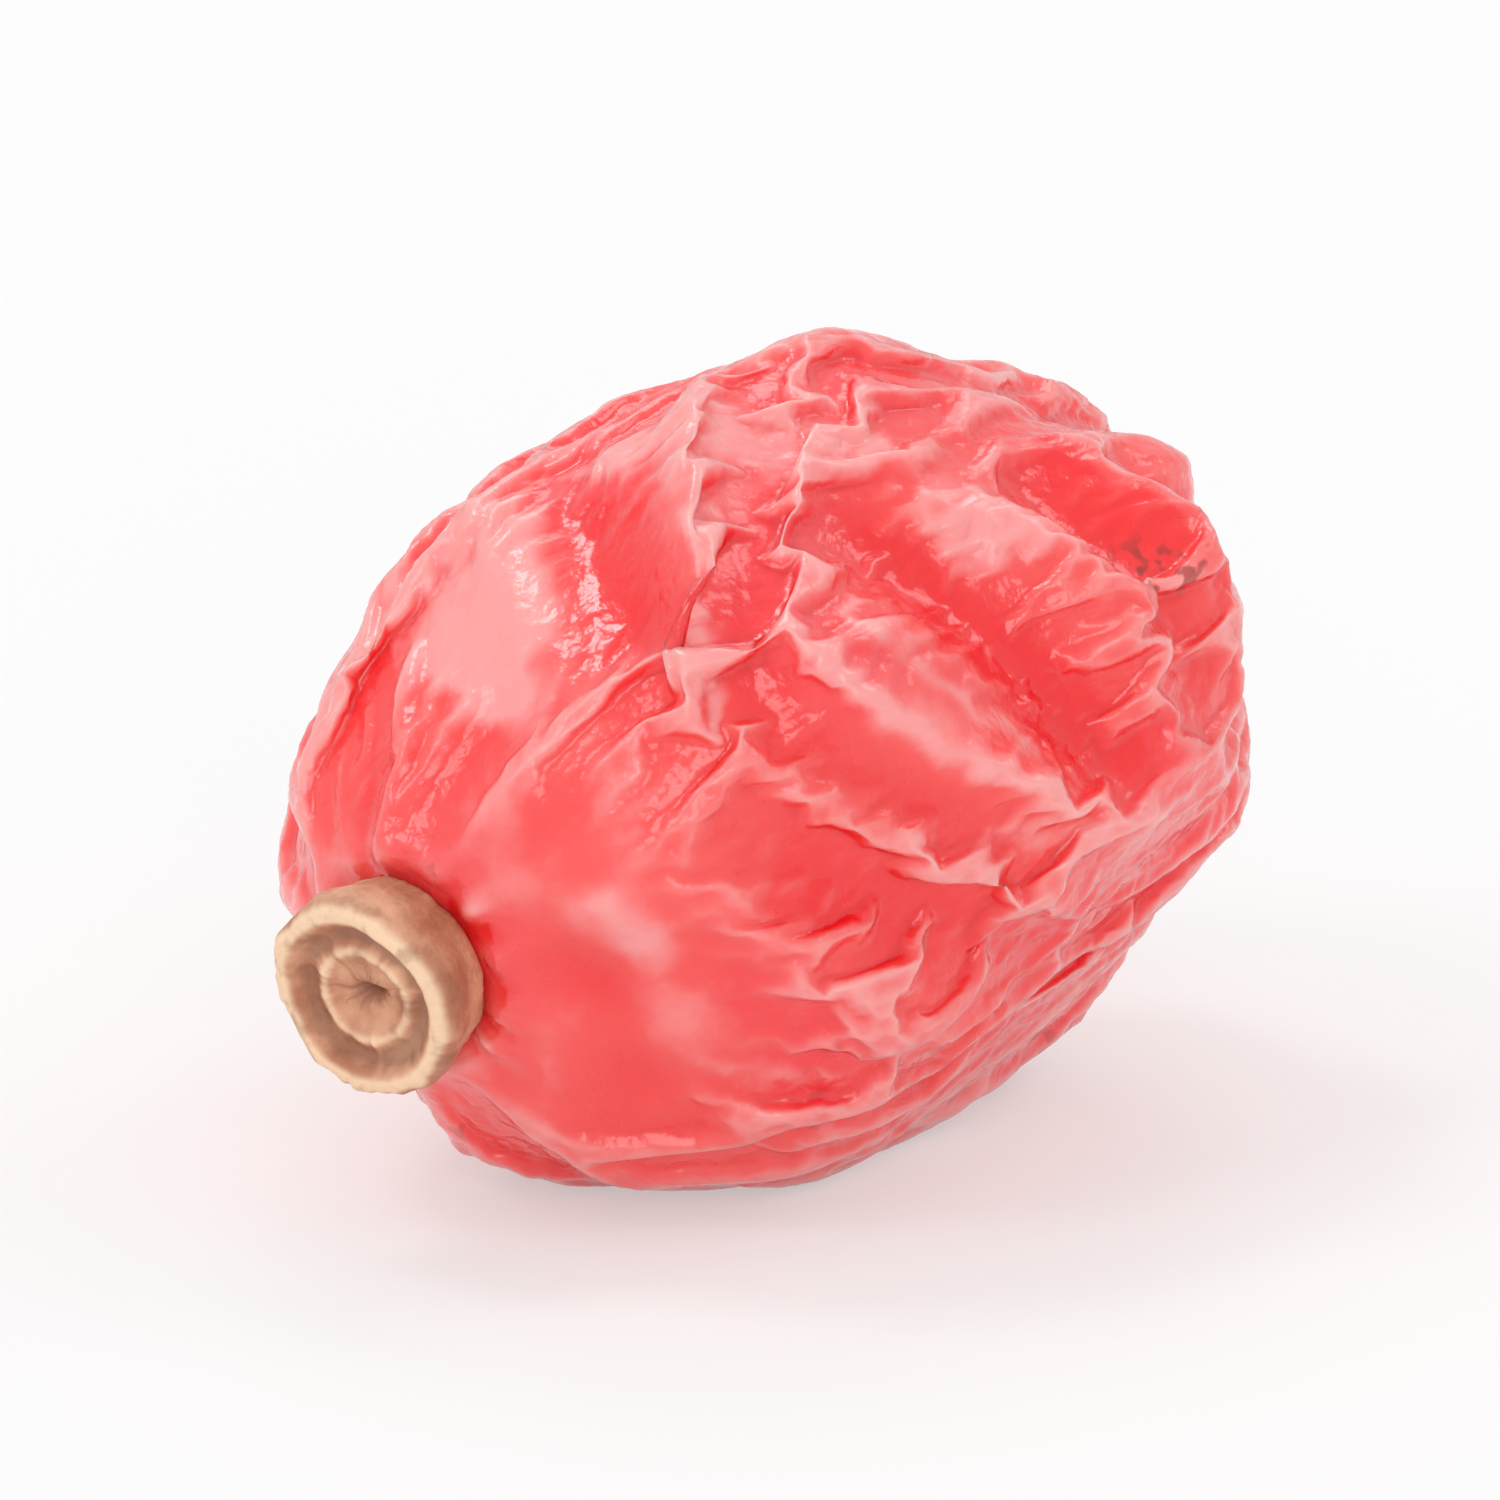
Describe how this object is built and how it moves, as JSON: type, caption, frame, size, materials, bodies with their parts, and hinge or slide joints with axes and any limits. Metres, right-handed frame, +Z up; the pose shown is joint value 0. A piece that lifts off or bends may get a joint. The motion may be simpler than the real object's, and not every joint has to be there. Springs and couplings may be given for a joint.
{
  "type": "dried barberry",
  "caption": "Small oval dried berry with wrinkled, collapsed skin and a round dried stigma at one end, lying on a small flat spot.",
  "frame": {"origin": "on the flat spot the berry rests on, straight below the middle of the berry", "axes": "+X along the berry from its stigma end towards its stalk end, +Z up"},
  "size_m": [0.0081, 0.0057, 0.0055],
  "materials": {
    "skin": "satin",
    "stigma_cork": "matte"
  },
  "bodies": {
    "root": {"berry": "skin", "stigma": "stigma_cork"}
  },
  "joints": []
}
